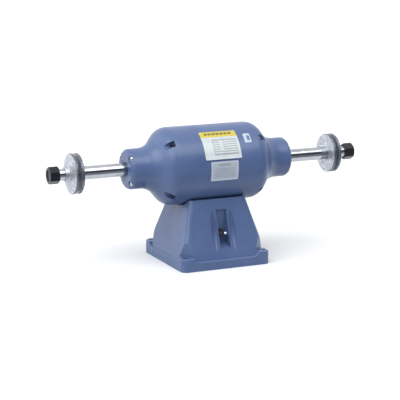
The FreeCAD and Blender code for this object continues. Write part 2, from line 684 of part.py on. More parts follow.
def seat_shoulder_x(side):
    """Housing shoulder outboard of the bearing; the left one leaves room for the wave spring."""
    return BEARING_OUT_X + (PRELOAD_GAP if side == LEFT else 0)


def flare_inner_x(radius):
    """Where the inside of the flare has a radius."""
    outer_x = SHOULDER_X + (BODY_R - radius) / math.tan(FLARE_ANGLE)
    return outer_x - BELL_WALL / math.sin(FLARE_ANGLE)


def end_bell(side):
    spigot_r = SHELL_IN_R - SEAT_GAP
    inner_r = spigot_r - SPIGOT_WALL
    pocket_r = CAP_R + 1
    spigot_x = SHELL_HALF - SPIGOT_LENGTH
    outside = turned([(spigot_x, 0), (spigot_x, spigot_r), (SHELL_HALF, spigot_r), (SHELL_HALF, BODY_R),
                      (SHOULDER_X, BODY_R, SHOULDER_ROUND), (NECK_X, NECK_R, NECK_FLARE_ROUND),
                      (NECK_END_X, NECK_R, NECK_ROUND), (NECK_END_X, 0)], side)
    hollow = turned([(spigot_x, 0), (spigot_x, inner_r), (flare_inner_x(inner_r), inner_r, SHOULDER_ROUND / 2),
                     (flare_inner_x(pocket_r), pocket_r), (CAP_POCKET_X, pocket_r), (CAP_POCKET_X, 0)], side)
    bosses = [along_x(SHELL_HALF, CAP_POCKET_X, NOTCH_R + NOTCH_WALL, THROUGH_CIRCLE_R, a, side)
              for a in QUARTERS]
    bell = outside.cut(hollow.cut(bosses))
    shoulder = seat_shoulder_x(side)
    cuts = [tube(CAP_POCKET_X - 1, shoulder, 0, BEARING_R + SEAT_GAP, side),
            tube(shoulder - 1, NECK_END_X, 0, SEAL_R, side)]
    for angle in QUARTERS:
        cuts.append(along_x(spigot_x, SHOULDER_X, THROUGH_R + BOLT_GAP, THROUGH_CIRCLE_R, angle, side))
        cuts.append(notch(angle, side))
        cuts.append(along_x(CAP_POCKET_X - 1, NECK_END_X, CAP_SCREW_R + BOLT_GAP, CAP_SCREW_CIRCLE_R, angle, side))
        cuts.append(along_x(CAP_SCREW_SEAT_X, NECK_END_X, CAP_SCREW_BORE_R, CAP_SCREW_CIRCLE_R, angle, side))
    return tidy(bell.cut(cuts))


def notch(angle, side):
    """Recess for a through bolt's head, open outwards."""
    y, z = on_circle(THROUGH_CIRCLE_R, angle)
    start, end = sorted((side * THROUGH_SEAT_X, side * CAP_POCKET_X))
    slot = box(start, end, -NOTCH_R, NOTCH_R, 0, BODY_R)
    slot.rotate(V(0, 0, 0), AXIS_X, math.degrees(math.atan2(-y, z - SHAFT_HEIGHT)))
    slot.translate(V(0, y, z))
    return slot.fuse(along_x(THROUGH_SEAT_X, CAP_POCKET_X, NOTCH_R, THROUGH_CIRCLE_R, angle, side))


def through_bolts():
    """Four long bolts, with their heads in the left end bell's notches."""
    bolts = []
    tip = THROUGH_SEAT_X + THROUGH_HEAD + 1.5
    for angle in QUARTERS:
        y, z = on_circle(THROUGH_CIRCLE_R, angle)
        head = hexagon(THROUGH_HEAD_FLATS, THROUGH_HEAD, (-THROUGH_SEAT_X - THROUGH_HEAD, y, z), AXIS_X)
        shank = rod((-THROUGH_SEAT_X, y, z), AXIS_X, THROUGH_SEAT_X + tip, THROUGH_R)
        bolts.append(tidy(head.fuse(shank)))
    return bolts


def through_bolt_nuts():
    nuts = []
    for angle in QUARTERS:
        y, z = on_circle(THROUGH_CIRCLE_R, angle)
        nut = hexagon(THROUGH_HEAD_FLATS, THROUGH_HEAD, (THROUGH_SEAT_X, y, z), AXIS_X)
        hole = along_x(THROUGH_SEAT_X, THROUGH_SEAT_X + THROUGH_HEAD, THROUGH_R + SEAT_GAP, THROUGH_CIRCLE_R, angle)
        nuts.append(tidy(nut.cut(hole)))
    return nuts


def inner_bearing_cap(side):
    """Cap inside the bell; its nose reaches through the bore to hold the bearing."""
    nose_r = BEARING_R - SEAT_GAP
    cap = turned([(CAP_POCKET_X - CAP_FLANGE, CAP_BORE_R), (CAP_POCKET_X - CAP_FLANGE, CAP_R, 1),
                  (CAP_POCKET_X, CAP_R), (CAP_POCKET_X, nose_r), (BEARING_IN_X - SEAT_GAP, nose_r),
                  (BEARING_IN_X - SEAT_GAP, nose_r - CAP_NOSE_WALL), (CAP_POCKET_X, nose_r - CAP_NOSE_WALL),
                  (CAP_POCKET_X, CAP_BORE_R)], side)
    holes = [along_x(CAP_POCKET_X - CAP_FLANGE, CAP_POCKET_X, CAP_SCREW_R + SEAT_GAP, CAP_SCREW_CIRCLE_R,
                     a, side) for a in QUARTERS]
    return tidy(cap.cut(holes))


def bearing_cap_screws(side):
    screws = []
    for angle in QUARTERS:
        y, z = on_circle(CAP_SCREW_CIRCLE_R, angle)
        length = CAP_SCREW_SEAT_X - CAP_POCKET_X + CAP_FLANGE + 1
        screw = pan_head_screw((side * CAP_SCREW_SEAT_X, y, z), AXIS_X * -side, length, CAP_SCREW_R,
                               CAP_SCREW_HEAD_R, CAP_SCREW_HEAD)
        slot_x = side * (CAP_SCREW_SEAT_X + CAP_SCREW_HEAD - 0.6)
        slot = box(slot_x - 0.6, slot_x + 0.6, y - CAP_SCREW_HEAD_R, y + CAP_SCREW_HEAD_R, z - 0.5, z + 0.5)
        screws.append(tidy(screw.cut(slot)))
    return screws


# ---------------------------------------------------------------- bearings and seals
def race_groove(side):
    """Torus that the balls run in, a running gap larger than they are."""
    return Part.makeTorus(BALL_CIRCLE_R, BALL_R + RUN_GAP, V(side * BEARING_MID_X, 0, SHAFT_HEIGHT), AXIS_X)


def bearing_outer_ring(side):
    ring = tube(BEARING_IN_X, BEARING_OUT_X, OUTER_RACE_R, BEARING_R, side)
    return tidy(ring.cut(race_groove(side)))


def bearing_inner_ring(side):
    ring = tube(BEARING_IN_X, BEARING_OUT_X, SHAFT_R + SEAT_GAP, INNER_RACE_R, side)
    return tidy(ring.cut(race_groove(side)))


def ball_centres(side):
    places = []
    for i in range(BALL_COUNT):
        y, z = on_circle(BALL_CIRCLE_R, 360 * i / BALL_COUNT)
        places.append(V(side * BEARING_MID_X, y, z))
    return places


def bearing_balls(side):
    return [Part.makeSphere(BALL_R, centre) for centre in ball_centres(side)]


def bearing_cage(side):
    ring = tube(BEARING_MID_X - CAGE_HALF, BEARING_MID_X + CAGE_HALF, CAGE_IN_R, CAGE_OUT_R, side)
    return tidy(ring.cut([Part.makeSphere(BALL_R + RUN_GAP, centre) for centre in ball_centres(side)]))


def bearing_wave_spring():
    """Preload washer at the left bearing, with three raised pads on each face."""
    half = PRELOAD_GAP / 2
    middle = BEARING_OUT_X + half
    washer = tube(middle - 0.3, middle + 0.3, OUTER_RACE_R, BEARING_R - CLEAR, LEFT)
    pads = []
    radius = (OUTER_RACE_R + BEARING_R - CLEAR) / 2
    for i in range(3):
        pads.append(along_x(middle, BEARING_OUT_X + SEAT_GAP, 1.4, radius, 120 * i, LEFT))
        pads.append(along_x(middle, BEARING_OUT_X + PRELOAD_GAP - SEAT_GAP, 1.4, radius, 120 * i + 60, LEFT))
    return tidy(washer.fuse(pads))


def shaft_seal(side):
    inboard = seat_shoulder_x(LEFT) + 1
    lip_r = SHAFT_R + SEAL_LIP_GAP
    case_r = SEAL_R - SEAT_GAP
    outboard = NECK_END_X - 0.5
    return turned([(inboard, case_r - 1.5), (inboard + 1.2, lip_r), (outboard - 1.5, lip_r + 1.2),
                   (outboard, lip_r + 1.2), (outboard, case_r), (inboard, case_r)], side)


# ---------------------------------------------------------------- stator, rotor and spindle
def slot_tool(r0, r1, width, half_length, degrees):
    slot = box(-half_length, half_length, -width / 2, width / 2, SHAFT_HEIGHT + r0, SHAFT_HEIGHT + r1)
    slot.rotate(V(0, 0, SHAFT_HEIGHT), AXIS_X, degrees)
    return slot


def slot_angles():
    return [360 * (i + 0.5) / SLOT_COUNT for i in range(SLOT_COUNT)]


def stator_core():
    core = tube(-CORE_HALF, CORE_HALF, CORE_BORE_R, SHELL_IN_R - SEAT_GAP)
    cuts = [slot_tool(SLOT_IN_R, SLOT_OUT_R, SLOT_WIDTH, CORE_HALF, a) for a in slot_angles()]
    cuts += [along_x(-CORE_HALF, CORE_HALF, THROUGH_R + BOLT_GAP, THROUGH_CIRCLE_R, a) for a in QUARTERS]
    return tidy(core.cut(cuts))


def stator_winding():
    """Slot conductors joined by the end turns at both ends."""
    middle_r = (SLOT_IN_R + END_TURN_OUT_R) / 2
    coils = []
    for side in (LEFT, RIGHT):
        coils.append(turned([(CORE_HALF + CLEAR, SLOT_IN_R, 3), (END_TURN_X, SLOT_IN_R + 1, 5),
                             (END_TURN_X, middle_r, 5), (END_TURN_X - 4, END_TURN_OUT_R, 5),
                             (CORE_HALF + CLEAR, END_TURN_OUT_R, 3)], side))
    bars = [slot_tool(SLOT_IN_R + CLEAR, SLOT_OUT_R - CLEAR, SLOT_WIDTH - 2 * CLEAR, CORE_HALF + 4, a)
            for a in slot_angles()]
    return tidy(coils[0].fuse([coils[1]] + bars))


def rotor_bar_angles():
    return [360 * i / ROTOR_BARS for i in range(ROTOR_BARS)]


def rotor_core():
    core = tube(-CORE_HALF, CORE_HALF, ROTOR_SEAT_R + SEAT_GAP, CORE_BORE_R - AIR_GAP)
    holes = [along_x(-CORE_HALF, CORE_HALF, ROTOR_BAR_R + SEAT_GAP, ROTOR_BAR_CIRCLE_R, a)
             for a in rotor_bar_angles()]
    return tidy(core.cut(holes))


def rotor_cage():
    """Cast bars and end rings, with stirring paddles on both rings."""
    pieces = []
    for side in (LEFT, RIGHT):
        pieces.append(tube(CORE_HALF + SEAT_GAP, END_RING_X, END_RING_IN_R, END_RING_OUT_R, side))
        for i in range(PADDLE_COUNT):
            paddle = box(END_RING_X - 1, PADDLE_X, -1.2, 1.2, SHAFT_HEIGHT + END_RING_IN_R + 1,
                         SHAFT_HEIGHT + END_RING_OUT_R - 1)
            if side == LEFT:
                paddle.translate(V(-END_RING_X + 1 - PADDLE_X, 0, 0))
            paddle.rotate(V(0, 0, SHAFT_HEIGHT), AXIS_X, 360 * i / PADDLE_COUNT)
            pieces.append(paddle)
    bars = [along_x(-END_RING_X + 1, END_RING_X - 1, ROTOR_BAR_R, ROTOR_BAR_CIRCLE_R, a)
            for a in rotor_bar_angles()]
    return tidy(pieces[0].fuse(pieces[1:] + bars))


def spindle_shaft():
    half = [(0, ROTOR_SEAT_R), (CORE_HALF + 2, ROTOR_SEAT_R), (CORE_HALF + 2, BEARING_SHOULDER_R),
            (BEARING_IN_X, BEARING_SHOULDER_R), (BEARING_IN_X, SHAFT_R), (ARBOR_SHOULDER_X, SHAFT_R),
            (ARBOR_SHOULDER_X, ARBOR_R), (ARBOR_END_X - ARBOR_CHAMFER, ARBOR_R),
            (ARBOR_END_X, ARBOR_R - ARBOR_CHAMFER)]
    mirrored = [(-x, r) for x, r in half[1:]]
    profile = half[1:] + [(ARBOR_END_X, 0), (-ARBOR_END_X, 0)] + mirrored[::-1]
    return turned(profile)


# ---------------------------------------------------------------- flanges, collars and nuts
def inner_flange(side):
    bore = ARBOR_R + RUN_GAP
    lip_in = FLANGE_R - FLANGE_LIP
    return turned([(ARBOR_SHOULDER_X, bore), (FLANGE_MEET_X, bore), (FLANGE_MEET_X, FLANGE_HUB_R),
                   (FLANGE_FACE_X - FLANGE_DISH, FLANGE_HUB_R, 1.5), (FLANGE_FACE_X - FLANGE_DISH, lip_in, 1.5),
                   (FLANGE_FACE_X, lip_in, 0.5), (FLANGE_FACE_X, FLANGE_R, 1.2),
                   (ARBOR_SHOULDER_X, FLANGE_R, 1.6)], side)


def outer_flange(side):
    bore = ARBOR_R + RUN_GAP
    lip_in = FLANGE_R - FLANGE_LIP
    crown_x = OUTER_RIM_X + FLANGE_CROWN
    return turned([(FLANGE_MEET_X, bore), (FLANGE_MEET_X, FLANGE_HUB_R),
                   (OUTER_FACE_X + FLANGE_DISH, FLANGE_HUB_R, 1.5), (OUTER_FACE_X + FLANGE_DISH, lip_in, 1.5),
                   (OUTER_FACE_X, lip_in, 0.5), (OUTER_FACE_X, FLANGE_R, 1.2), (OUTER_RIM_X - 0.8, FLANGE_R, 1.6),
                   (crown_x, FLANGE_HUB_R + 6, 14), (crown_x, FLANGE_HUB_R, 2.5), (HUB_END_X, FLANGE_HUB_R - 1, 1.2),
                   (HUB_END_X, bore)], side)


def collar(side):
    bore = ARBOR_R + RUN_GAP
    return turned([(HUB_END_X, bore), (HUB_END_X, COLLAR_R, 0.6), (NUT_X, COLLAR_R, 0.6), (NUT_X, bore)], side)


def arbor_nut(side):
    """Hexagon nut, chamfered at both ends, with a corner uppermost."""
    start = (min(side * NUT_X, side * (NUT_X + NUT_HEIGHT)), 0, SHAFT_HEIGHT)
    nut = hexagon(NUT_FLATS, NUT_HEIGHT, start, AXIS_X, 0)
    slope = math.tan(math.radians(30))
    corner_r = NUT_FLATS / math.sqrt(3) + 1
    drop = (corner_r - NUT_CHAMFER_R + 0.6) * slope
    limit = turned([(NUT_X, 0), (NUT_X, corner_r - drop / slope), (NUT_X + drop, corner_r),
                    (NUT_X + NUT_HEIGHT - drop, corner_r), (NUT_X + NUT_HEIGHT, corner_r - drop / slope),
                    (NUT_X + NUT_HEIGHT, 0)], side)
    nut = nut.common(limit)
    bore = tube(NUT_X, NUT_X + NUT_HEIGHT, 0, ARBOR_R + RUN_GAP, side)
    mouth = turned([(NUT_X + NUT_HEIGHT - 1.2, 0), (NUT_X + NUT_HEIGHT - 1.2, ARBOR_R),
                    (NUT_X + NUT_HEIGHT, ARBOR_R + 1.2), (NUT_X + NUT_HEIGHT, 0)], side)
    return tidy(nut.cut([bore, mouth]))


# ---------------------------------------------------------------- labels on the shell
def curved_plate(x_range, angle_range, thick, corner_r):
    """Thin plate wrapped on the shell, with round corners."""
    half = math.radians(angle_range[1] - angle_range[0]) / 2
    half_z = BODY_R * math.sin(half)
    corners = [(x_range[0], -half_z), (x_range[1], -half_z), (x_range[1], half_z), (x_range[0], half_z)]
    punch = Part.Face(outline([(x, z, corner_r) for x, z in corners]))
    punch = punch.extrude(V(0, -2 * BODY_R, 0))
    punch.translate(V(0, 0, SHAFT_HEIGHT))
    punch.rotate(V(0, 0, SHAFT_HEIGHT), AXIS_X, -sum(angle_range) / 2)
    return tidy(tube(x_range[0], x_range[1], BODY_R, BODY_R + thick).common(punch))


def nameplate():
    return curved_plate(PLATE_X, PLATE_ANGLE, PLATE_THICK, 2.0)


def nameplate_rivets():
    """Small round heads at the plate's corners; their stems are in the shell."""
    rivets = []
    margin = math.degrees(PLATE_RIVET_INSET / BODY_R)
    for x in (PLATE_X[0] + PLATE_RIVET_INSET, PLATE_X[1] - PLATE_RIVET_INSET):
        for angle in (PLATE_ANGLE[0] + margin, PLATE_ANGLE[1] - margin):
            y, z = on_circle(BODY_R + PLATE_THICK, angle)
            out = V(0, y, z - SHAFT_HEIGHT).normalize()
            dome = Part.makeSphere(1.5, V(x, y, z) - out * 0.6)
            keep = Part.makeCylinder(2, 1.2, V(x, y, z) + out * SEAT_GAP, out)
            rivets.append(tidy(dome.common(keep)))
    return rivets


def data_label():
    return curved_plate(LABEL_X, LABEL_ANGLE, FOIL_THICK, 1.0)


def round_sticker():
    return curved_plate(STICKER_X, STICKER_ANGLE, FOIL_THICK, 2.0)


# ---------------------------------------------------------------- export
def nodes():
    """Every node's name with its solid, or its list of separate solids."""
    made = {
        "base_casting": base_casting(),
        "base_bottom_cover": base_bottom_cover(),
        "bottom_cover_screws": bottom_cover_screws(),
        "motor_mount_bolts": motor_mount_bolts(),
        "motor_mount_washers": motor_mount_washers(),
        "motor_mount_blocks": motor_mount_blocks(),
        "toggle_switch_body": toggle_switch_body(),
        "toggle_switch_nut": toggle_switch_nut(),
        "toggle_lever": toggle_lever(),
        "run_capacitor": run_capacitor(),
        "capacitor_strap": capacitor_strap(),
        "cord_gland": cord_gland(),
        "lead_grommet": lead_grommet(),
        "internal_leads": internal_leads(),
        "motor_shell": motor_shell(),
        "through_bolts": through_bolts(),
        "through_bolt_nuts": through_bolt_nuts(),
        "bearing_wave_spring": bearing_wave_spring(),
        "stator_core": stator_core(),
        "stator_winding": stator_winding(),
        "rotor_core": rotor_core(),
        "rotor_cage": rotor_cage(),
        "spindle_shaft": spindle_shaft(),
        "nameplate": nameplate(),
        "nameplate_rivets": nameplate_rivets(),
        "data_label": data_label(),
        "shell_sticker": round_sticker(),
    }
    for word, side in (("left", LEFT), ("right", RIGHT)):
        made[word + "_end_bell"] = end_bell(side)
        made[word + "_inner_bearing_cap"] = inner_bearing_cap(side)
        made[word + "_bearing_cap_screws"] = bearing_cap_screws(side)
        made[word + "_bearing_outer_ring"] = bearing_outer_ring(side)
        made[word + "_bearing_inner_ring"] = bearing_inner_ring(side)
        made[word + "_bearing_balls"] = bearing_balls(side)
        made[word + "_bearing_cage"] = bearing_cage(side)
        made[word + "_shaft_seal"] = shaft_seal(side)
        made[word + "_inner_flange"] = inner_flange(side)
        made[word + "_outer_flange"] = outer_flange(side)
        made[word + "_collar"] = collar(side)
        made[word + "_nut"] = arbor_nut(side)
    return made


def export(name, shape):
    if isinstance(shape, list):
        shape = shape[0] if len(shape) == 1 else Part.makeCompound(shape)
    if not shape.isValid():
        print("not valid:", name)
    shape.exportStep("parts/" + name + ".step")
    print(name, len(shape.Solids), "solids", round(shape.Volume / 1000, 2), "cm3")


os.makedirs("parts", exist_ok=True)
for node_name, node_shape in nodes().items():
    export(node_name, node_shape)
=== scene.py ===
# %% [markdown]
# # Double-ended bench grinder
# The machine is a motor in a blue painted housing on a tapered iron pedestal. A ground
# shaft leaves the housing at both ends and carries a pair of wheel flanges, a spacer and
# a black nut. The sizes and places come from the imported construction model, so the first
# step loads it, and everything after that is finish, light and the fine pieces.
# %% Load the fixed frame
import bpy
import json
import math
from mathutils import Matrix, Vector


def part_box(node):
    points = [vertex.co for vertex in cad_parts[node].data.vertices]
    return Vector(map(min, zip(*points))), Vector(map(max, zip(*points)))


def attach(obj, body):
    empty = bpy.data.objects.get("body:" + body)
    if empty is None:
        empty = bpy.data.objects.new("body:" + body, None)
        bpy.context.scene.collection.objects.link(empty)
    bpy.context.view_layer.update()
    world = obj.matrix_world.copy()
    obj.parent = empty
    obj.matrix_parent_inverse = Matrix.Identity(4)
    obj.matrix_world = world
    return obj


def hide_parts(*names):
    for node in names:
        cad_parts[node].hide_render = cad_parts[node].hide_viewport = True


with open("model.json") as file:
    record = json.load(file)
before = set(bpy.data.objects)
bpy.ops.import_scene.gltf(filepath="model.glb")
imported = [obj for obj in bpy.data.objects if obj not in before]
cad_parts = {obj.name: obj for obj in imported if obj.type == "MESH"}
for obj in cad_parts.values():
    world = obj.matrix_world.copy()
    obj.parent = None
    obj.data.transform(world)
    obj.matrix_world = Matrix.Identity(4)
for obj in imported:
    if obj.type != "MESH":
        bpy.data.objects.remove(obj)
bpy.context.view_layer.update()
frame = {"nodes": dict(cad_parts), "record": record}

nodes = frame["nodes"]
record = frame["record"]

# %% [markdown]
# ## Measures
# Every piece made here has to sit on one of the construction pieces. Reading the spindle's
# height and the shell's radius from the frame, instead of typing them, keeps the labels on
# the housing if the machine is ever made larger.
# %% Measures from the frame
joint_by_name = {joint["name"]: joint for joint in record["behaviour"]["joints"]}
SPINDLE_Z = joint_by_name["spindle_spin"]["pos_m"][2]
AXIS = Vector((0.0, 0.0, SPINDLE_Z))
shell_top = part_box("motor_shell")[1][2]
BODY_R = shell_top - SPINDLE_Z
print("spindle at", round(SPINDLE_Z, 4), "m, shell radius", round(BODY_R, 4), "m")

# %% [markdown]
# ## Camera
# The picture is taken with a long lens from the front left, a little above the spindle.
# A long lens keeps the two shaft ends nearly the same size, which is how such a long
# machine is usually shown. The camera is aimed with a track quaternion at a point just
# under the housing.
# %% Camera
VIEW_AZIMUTH = math.radians(-24.49)
VIEW_ELEVATION = math.radians(11.96)
VIEW_DISTANCE = 2.8439
VIEW_TARGET = Vector((-0.01355, 0.0, 0.11567))
LENS = 132.25
SENSOR_WIDTH = 36.0

away = Vector((math.sin(VIEW_AZIMUTH) * math.cos(VIEW_ELEVATION),
               -math.cos(VIEW_AZIMUTH) * math.cos(VIEW_ELEVATION),
               math.sin(VIEW_ELEVATION)))
camera_data = bpy.data.cameras.new("picture_camera")
camera_data.lens = LENS
camera_data.sensor_width = SENSOR_WIDTH
camera_data.clip_end = 100.0
camera = bpy.data.objects.new("picture_camera", camera_data)
camera.location = VIEW_TARGET + away * VIEW_DISTANCE
camera.rotation_euler = (-away).to_track_quat("-Z", "Y").to_euler()
bpy.context.collection.objects.link(camera)
bpy.context.scene.camera = camera
bpy.context.scene.view_settings.view_transform = "Standard"
print("camera at", [round(value, 3) for value in camera.location])

# %% [markdown]
# ## Shader helpers
# A material is a small graph, and most graphs here repeat the same few steps: make a node,
# set some sockets, link it. Two helpers keep each material short. Positions come from
# Object coordinates, which are in metres because every piece sits unscaled at the origin.
# %% Shader helpers
def add_node(tree, kind, **sockets):
    """Adds a node and sets the sockets that are given by name, with spaces as underscores."""
    node = tree.nodes.new(kind)
    for name, value in sockets.items():
        node.inputs[name.replace("_", " ")].default_value = value
    return node


def link(tree, source, target):
    tree.links.new(source, target)


def ramp(tree, source, low, high, dark=0.0, bright=1.0):
    """Maps a value from low..high to dark..bright, with a smooth middle."""
    node = tree.nodes.new("ShaderNodeMapRange")
    node.interpolation_type = "SMOOTHSTEP"
    for name, value in (("From Min", low), ("From Max", high), ("To Min", dark), ("To Max", bright)):
        node.inputs[name].default_value = value
    link(tree, source, node.inputs["Value"])
    return node.outputs["Result"]


def math_node(tree, operation, first, second):
    """A math node whose inputs are sockets or plain numbers."""
    node = tree.nodes.new("ShaderNodeMath")
    node.operation = operation
    for socket, value in zip(node.inputs, (first, second)):
        if isinstance(value, (int, float)):
            socket.default_value = value
        else:
            link(tree, value, socket)
    return node.outputs[0]


def mix_colour(tree, factor, first, second):
    """Mixes two colours, each a socket or a plain (r, g, b)."""
    node = tree.nodes.new("ShaderNodeMix")
    node.data_type = "RGBA"
    if isinstance(factor, (int, float)):
        node.inputs[0].default_value = factor
    else:
        link(tree, factor, node.inputs[0])
    for socket, value in ((node.inputs[6], first), (node.inputs[7], second)):
        if isinstance(value, tuple):
            socket.default_value = value + (1.0,)
        else:
            link(tree, value, socket)
    return node.outputs[2]


def noise(tree, vector, scale, detail=3.0, roughness=0.5):
    node = add_node(tree, "ShaderNodeTexNoise", Scale=scale, Detail=detail, Roughness=roughness)
    link(tree, vector, node.inputs["Vector"])
    return node.outputs["Fac"]


print("shader helpers ready")

# %% [markdown]
# ## Edge wear
# Paint thins and metal brightens on corners that hands and tools touch. The Bevel node
# gives the normal that a slightly rounded edge would have, and where it parts from the
# true normal there is an edge. Broken up with noise it becomes a wear mask. It is a group,
# because paint, castings and black oxide all use it with their own amounts.
# %% Edge wear group
EDGE_RADIUS = 0.0009
EDGE_STARTS = 0.99
EDGE_FULL = 0.86


def new_group(name, inputs, outputs):
    """Empty node group with float, vector or colour sockets."""
    group = bpy.data.node_groups.new(name, "ShaderNodeTree")
    for socket_name, kind, value in inputs:
        socket = group.interface.new_socket(socket_name, in_out="INPUT", socket_type=kind)
        if value is not None:
            socket.default_value = value
    for socket_name, kind in outputs:
        group.interface.new_socket(socket_name, in_out="OUTPUT", socket_type=kind)
    start = group.nodes.new("NodeGroupInput")
    end = group.nodes.new("NodeGroupOutput")
    return group, start, end


def build_edge_wear():
    group, start, end = new_group(
        "edge_wear",
        [("Vector", "NodeSocketVector", None), ("Amount", "NodeSocketFloat", 0.5)],
        [("Mask", "NodeSocketFloat")])
    bevel = add_node(group, "ShaderNodeBevel", Radius=EDGE_RADIUS)
    bevel.samples = 6
    geometry = group.nodes.new("ShaderNodeNewGeometry")
    dot = group.nodes.new("ShaderNodeVectorMath")
    dot.operation = "DOT_PRODUCT"
    link(group, bevel.outputs["Normal"], dot.inputs[0])
    link(group, geometry.outputs["Normal"], dot.inputs[1])
    edge = ramp(group, dot.outputs["Value"], EDGE_STARTS, EDGE_FULL)
    grain = noise(group, start.outputs["Vector"], 260.0, 4.0, 0.7)
    broken = math_node(group, "MULTIPLY", edge, ramp(group, grain, 0.42, 0.62))
    link(group, math_node(group, "MULTIPLY", broken, start.outputs["Amount"]), end.inputs["Mask"])
    return group


edge_wear_group = build_edge_wear()
print("made group", edge_wear_group.name)

# %% [markdown]
# ## Surface breakup
# No real surface has one roughness. This group puts out a slow drift for tone, a fine
# grain for bump and a smudge mask for roughness, all from one position input, so that a
# material only has to choose how strongly it uses each.
# %% Surface breakup group
def build_breakup():
    group, start, end = new_group(
        "surface_breakup",
        [("Vector", "NodeSocketVector", None), ("Grain Scale", "NodeSocketFloat", 900.0)],
        [("Drift", "NodeSocketFloat"), ("Grain", "NodeSocketFloat"), ("Smudge", "NodeSocketFloat")])
    vector = start.outputs["Vector"]
    link(group, ramp(group, noise(group, vector, 14.0, 3.0), 0.3, 0.7), end.inputs["Drift"])
    grain = add_node(group, "ShaderNodeTexNoise", Detail=2.0, Roughness=0.6)
    link(group, vector, grain.inputs["Vector"])
    link(group, start.outputs["Grain Scale"], grain.inputs["Scale"])
    link(group, grain.outputs["Fac"], end.inputs["Grain"])
    link(group, ramp(group, noise(group, vector, 45.0, 5.0, 0.65), 0.45, 0.7), end.inputs["Smudge"])
    return group


breakup_group = build_breakup()
print("made group", breakup_group.name)

# %% [markdown]
# ## A material's skeleton
# Each finish starts the same way: a Principled shader, Object coordinates and the breakup
# group. The helper returns those, and each material then adds what makes it different.
# %% Material skeleton
def start_material(name, grain_scale=900.0):
    material = bpy.data.materials.new(name)
    material.use_nodes = True
    tree = material.node_tree
    shader = tree.nodes["Principled BSDF"]
    place = tree.nodes.new("ShaderNodeTexCoord").outputs["Object"]
    breakup = tree.nodes.new("ShaderNodeGroup")
    breakup.node_tree = breakup_group
    breakup.inputs["Grain Scale"].default_value = grain_scale
    link(tree, place, breakup.inputs["Vector"])
    return material, tree, shader, place, breakup


def wear_mask(tree, place, amount):
    node = tree.nodes.new("ShaderNodeGroup")
    node.node_tree = edge_wear_group
    node.inputs["Amount"].default_value = amount
    link(tree, place, node.inputs["Vector"])
    return node.outputs["Mask"]


def bump(tree, shader, height, distance, strength=1.0):
    node = add_node(tree, "ShaderNodeBump", Distance=distance, Strength=strength)
    link(tree, height, node.inputs["Height"])
    link(tree, node.outputs["Normal"], shader.inputs["Normal"])
    return node


def set_plain(shader, **sockets):
    """Sets constants on the shader's own sockets."""
    for name, value in sockets.items():
        shader.inputs[name.replace("_", " ")].default_value = value


print("skeleton ready")

# %% [markdown]
# ## Blue enamel on cast iron
# The housing and the pedestal are iron castings and a rolled shell under one coat of
# slate-blue enamel. The paint is satin, with a slight orange peel, a faint unevenness of
# the casting underneath, and thin bright-edged wear on corners.
# %% Blue enamel
ENAMEL = (0.072, 0.119, 0.258)
ENAMEL_LIGHT = (0.086, 0.138, 0.284)
PRIMER = (0.20, 0.22, 0.26)


def blue_enamel(name, grain_scale, grain_depth, casting_depth):
    material, tree, shader, place, breakup = start_material(name, grain_scale)
    paint = mix_colour(tree, breakup.outputs["Drift"], ENAMEL, ENAMEL_LIGHT)
    wear = wear_mask(tree, place, 0.55)
    link(tree, mix_colour(tree, wear, paint, PRIMER), shader.inputs["Base Color"])
    rough = ramp(tree, breakup.outputs["Smudge"], 0.0, 1.0, 0.28, 0.40)
    link(tree, rough, shader.inputs["Roughness"])
    waves = noise(tree, place, 70.0, 2.0)
    height = math_node(tree, "ADD", math_node(tree, "MULTIPLY", breakup.outputs["Grain"], grain_depth),
                       math_node(tree, "MULTIPLY", waves, casting_depth))
    bump(tree, shader, height, 0.001)
    set_plain(shader, IOR=1.5)
    return material


shell_paint = blue_enamel("blue_enamel_rolled", 1500.0, 0.02, 0.06)
casting_paint = blue_enamel("blue_enamel_cast", 900.0, 0.06, 0.22)
print("made", shell_paint.name, "and", casting_paint.name)

# %% [markdown]
# ## Ground steel
# The shaft, the arbor and the spacers are ground on a lathe, so the fine lines run round
# the axis. They change along X only, so a noise that reads X strongly and the other axes
# weakly gives rings. The threaded end of the arbor, under and past the nut, is coloured
# nearly black: a mask on the distance from the middle of the machine darkens it.
# %% Ground steel
THREAD_START = 0.302
THREAD_COLOUR = (0.045, 0.046, 0.055)


def turned_steel(name, colour, rough_low, rough_high, ring_depth):
    material, tree, shader, place, breakup = start_material(name, 1200.0)
    stretch = tree.nodes.new("ShaderNodeMapping")
    stretch.inputs["Scale"].default_value = (1.0, 0.02, 0.02)
    link(tree, place, stretch.inputs["Vector"])
    rings = noise(tree, stretch.outputs["Vector"], 2600.0, 3.0, 0.7)
    dull = tuple(value * 0.80 for value in colour)
    steel = mix_colour(tree, breakup.outputs["Smudge"], colour, dull)
    split = tree.nodes.new("ShaderNodeSeparateXYZ")
    link(tree, place, split.inputs[0])
    along = math_node(tree, "ABSOLUTE", split.outputs["X"], 0.0)
    black = ramp(tree, along, THREAD_START - 0.0005, THREAD_START + 0.0005)
    link(tree, mix_colour(tree, black, steel, THREAD_COLOUR), shader.inputs["Base Color"])
    spread = math_node(tree, "ADD", math_node(tree, "MULTIPLY", breakup.outputs["Smudge"], 0.6),
                       math_node(tree, "MULTIPLY", rings, 0.4))
    rough = ramp(tree, spread, 0.1, 0.8, rough_low, rough_high)
    link(tree, math_node(tree, "MAXIMUM", rough, math_node(tree, "MULTIPLY", black, 0.42)),
         shader.inputs["Roughness"])
    bump(tree, shader, rings, ring_depth)
    set_plain(shader, Metallic=1.0)
    return material


shaft_steel = turned_steel("ground_steel", (0.50, 0.52, 0.56), 0.10, 0.20, 0.000004)
bearing_steel = turned_steel("bearing_steel", (0.70, 0.71, 0.74), 0.08, 0.16, 0.000002)
print("made", shaft_steel.name, "and", bearing_steel.name)
